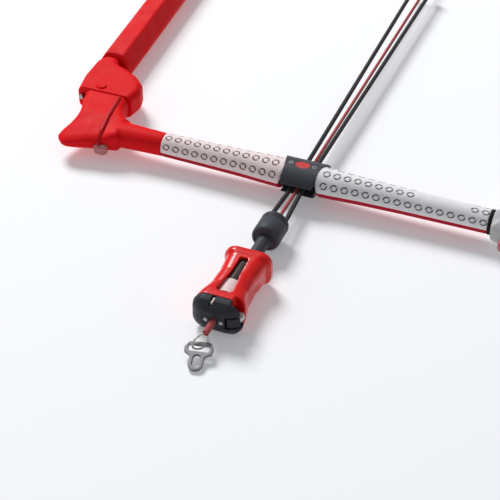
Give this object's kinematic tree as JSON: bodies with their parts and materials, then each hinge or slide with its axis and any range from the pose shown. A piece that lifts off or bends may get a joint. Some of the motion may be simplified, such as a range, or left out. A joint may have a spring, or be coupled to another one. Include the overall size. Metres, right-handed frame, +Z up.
{
  "type": "kite control bar",
  "caption": "Kite control bar with foam grips, floats on winding bar ends, sliding lines through the centre piece, swivel, push-away release and leash plate.",
  "frame": {"origin": "on the resting surface, midway between the leash plate's tip and the leader knots and midway between the bar ends", "axes": "+X along the bar to the right, +Y along the lines towards the kite, +Z up"},
  "size_m": [0.6146, 0.7517, 0.0369],
  "materials": {
    "foam_light": "light grey moulded foam, satin",
    "foam_red": "dark red moulded foam, satin",
    "center_grey": "light grey moulded plastic",
    "black_plastic": "black moulded plastic",
    "slate_plastic": "dark slate moulded plastic",
    "red_plastic": "red moulded plastic, slightly translucent",
    "red_inlay": "red plastic",
    "pale_plastic": "pale plastic",
    "clear_rubber": "translucent pinkish rubber",
    "end_rubber_red": "red moulded rubber",
    "end_rubber_grey": "light grey moulded rubber",
    "float_red": "red closed-cell foam",
    "float_grey": "light grey closed-cell foam",
    "steel": "satin stainless steel",
    "aluminium": "drawn aluminium",
    "line_black": "black braided line",
    "line_red": "dark red braided line",
    "line_white": "white braided cord"
  },
  "bodies": {
    "bar": {"core_tube_left": "aluminium", "core_tube_right": "aluminium", "center_housing": "center_grey", "center_cover": "center_grey", "throat_liner": "black_plastic", "center_screws": "steel", "center_inlay": "red_inlay", "grip_upper_left": "foam_light", "grip_upper_right": "foam_light", "grip_lower_left": "foam_red", "grip_lower_right": "foam_red", "end_collar_right": "black_plastic", "end_plug_left": "black_plastic", "end_plug_right": "black_plastic", "end_body_left": "end_rubber_red", "end_body_right": "end_rubber_grey", "outlet_head_left": "end_rubber_red", "outlet_head_right": "end_rubber_grey", "head_screw_left": "red_plastic", "head_screw_right": "pale_plastic", "leader_pin_left": "steel", "leader_pin_right": "steel", "strap_left": "line_red", "strap_right": "line_white", "strap_knob_left": "clear_rubber", "strap_knob_right": "clear_rubber"},
    "float_left": {"float_left": "float_red", "leader_line_left": "line_red", "leader_knot_left": "line_red"},
    "float_right": {"float_right": "float_grey", "leader_line_right": "line_white", "leader_knot_right": "line_white"},
    "line_set": {"depower_line_left": "line_black", "depower_line_right": "line_black", "line_knot_left": "line_black", "line_knot_right": "line_black", "swivel_housing": "slate_plastic", "swivel_retainer": "black_plastic", "swivel_washer": "steel"},
    "release": {"swivel_shaft": "steel", "release_core": "black_plastic", "core_collar": "black_plastic", "window_plate": "pale_plastic", "spring_cover": "slate_plastic", "sleeve_spring": "steel", "base_upper": "slate_plastic", "base_lower": "slate_plastic", "base_screws": "steel", "indicator_strip": "pale_plastic", "lock_pin": "steel", "latch_pivot": "steel", "exit_pins": "black_plastic"},
    "sleeve": {"release_sleeve": "red_plastic"},
    "latch": {"latch": "slate_plastic"},
    "safety": {"safety_line": "line_red", "safety_knot": "line_red", "safety_stub": "line_red", "ring_loop": "line_white"},
    "leash_ring": {"leash_ring": "steel"}
  },
  "joints": [
    {"name": "sheeting", "type": "slide", "parent": "bar", "child": "line_set", "axis": [0, 1, 0], "range_m": [-0.36, 0.048]},
    {"name": "swivel_spin", "type": "hinge", "parent": "line_set", "child": "release", "pos_m": [0, -0.16204, 0.018], "axis": [0, 1, 0], "continuous": true},
    {"name": "sleeve_push", "type": "slide", "parent": "release", "child": "sleeve", "axis": [0, 1, 0], "range_m": [0, 0.018], "stiffness_N_per_m": 700, "springref_m": -0.008, "deforming": ["sleeve_spring"]},
    {"name": "latch_open", "type": "hinge", "parent": "release", "child": "latch", "pos_m": [0.0136, -0.28434, 0.018], "axis": [0, 0, -1], "range_deg": [0, 60.2]},
    {"name": "safety_pull", "type": "slide", "parent": "line_set", "child": "safety", "axis": [0, -1, 0], "range_m": [0, 0.03]},
    {"name": "ring_swing", "type": "hinge", "parent": "safety", "child": "leash_ring", "pos_m": [-0.0025, -0.31204, 0.0095], "axis": [0.9816, 0.1908, 0], "range_deg": [-100, 30]},
    {"name": "float_left_swing", "type": "hinge", "parent": "bar", "child": "float_left", "pos_m": [-0.266, 0.03796, 0.01819], "axis": [0, 0, 1], "range_deg": [-12, 12]},
    {"name": "float_right_swing", "type": "hinge", "parent": "bar", "child": "float_right", "pos_m": [0.266, 0.03796, 0.01819], "axis": [0, 0, 1], "range_deg": [-12, 12]}
  ],
  "couplings": [
    {"joint": "latch_open", "follows": "sleeve_push", "rad_per_m": 58.178}
  ]
}
